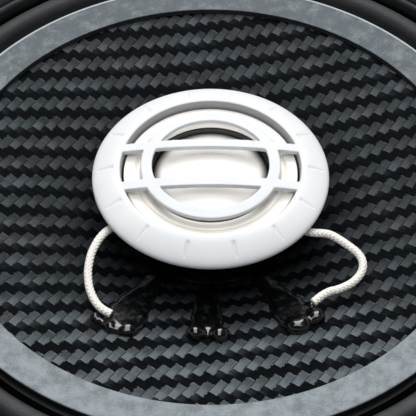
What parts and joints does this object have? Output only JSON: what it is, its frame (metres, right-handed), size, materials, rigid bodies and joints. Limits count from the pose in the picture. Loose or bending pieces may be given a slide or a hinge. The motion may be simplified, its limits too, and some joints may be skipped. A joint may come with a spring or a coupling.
{
  "type": "coaxial car speaker",
  "caption": "Round coaxial car loudspeaker with a woven twill cone, rubber surround, post-mounted dome tweeter under a light bezel grille and a ferrite motor.",
  "frame": {"origin": "centre of the motor's rear face, on which the speaker stands", "axes": "+Z along the speaker's axis out of its front, the front-to-back depth being the shortest size; -Y towards the adhesive runs and the terminals; +X completes a right-handed set"},
  "size_m": [0.168, 0.168, 0.0688],
  "materials": {
    "black_steel": "satin black coat on pressed steel",
    "plated_steel": "zinc plated, turned",
    "ferrite": "matt dark grey, ground faces",
    "foam": "matt black foam",
    "dark_rubber": "matt, fine grain",
    "grey_rubber": "matt, fine leathery grain",
    "spider_cloth": "resin-stiffened woven cloth",
    "light_plastic": "fine matt moulded",
    "black_plastic": "matt moulded",
    "satin_silver": "satin champagne anodised",
    "carbon_weave": "two-by-two twill, resin filled",
    "black_adhesive": "wet-looking gloss",
    "cotton_braid": "braided cotton sleeve",
    "tinsel_braid": "braided tinsel wire",
    "polyimide": "amber film",
    "copper": "enamelled wire",
    "brass": "stamped tab",
    "blue_sleeve": "shrink sleeve"
  },
  "bodies": {
    "chassis": {"basket": "black_steel", "basket_rivet_1": "plated_steel", "basket_rivet_2": "plated_steel", "basket_rivet_3": "plated_steel", "basket_rivet_4": "plated_steel", "front_gasket": "foam", "surround": "dark_rubber", "spider": "spider_cloth", "top_plate": "plated_steel", "ferrite_magnet": "ferrite", "yoke": "plated_steel", "post_nut": "plated_steel", "tweeter_post": "black_plastic", "tweeter_housing": "black_plastic", "tweeter_bezel": "light_plastic", "tweeter_face_plate": "satin_silver", "tweeter_yoke_cup": "plated_steel", "tweeter_magnet": "plated_steel", "tweeter_pole_plate": "plated_steel", "tweeter_surround": "dark_rubber", "lead_sleeve_left": "black_plastic", "lead_sleeve_right": "black_plastic", "lead_left": "cotton_braid", "lead_right": "cotton_braid", "terminal_block": "black_plastic", "terminal_tab_positive": "brass", "terminal_tab_negative": "brass", "terminal_rivet_positive": "brass", "terminal_rivet_negative": "brass", "crossover_capacitor": "blue_sleeve", "tinsel_lead_left": "tinsel_braid", "tinsel_lead_right": "tinsel_braid"},
    "cone_assembly": {"cone": "carbon_weave", "cone_edge_ring": "grey_rubber", "voice_coil_former": "polyimide", "voice_coil_winding": "copper", "neck_adhesive": "black_adhesive", "glue_left": "black_adhesive", "glue_centre": "black_adhesive", "glue_right": "black_adhesive"},
    "tweeter_diaphragm": {"tweeter_dome": "satin_silver", "tweeter_coil": "copper"}
  },
  "joints": [
    {"name": "cone_slide", "type": "slide", "parent": "chassis", "child": "cone_assembly", "axis": [0, 0, 1], "range_m": [-0.004, 0.004], "stiffness_N_per_m": 2000, "deforming": ["surround", "spider", "lead_left", "lead_right", "tinsel_lead_left", "tinsel_lead_right"]},
    {"name": "tweeter_diaphragm_slide", "type": "slide", "parent": "chassis", "child": "tweeter_diaphragm", "axis": [0, 0, 1], "range_m": [-0.0002, 0.0002], "stiffness_N_per_m": 3000, "deforming": ["tweeter_surround"]}
  ]
}
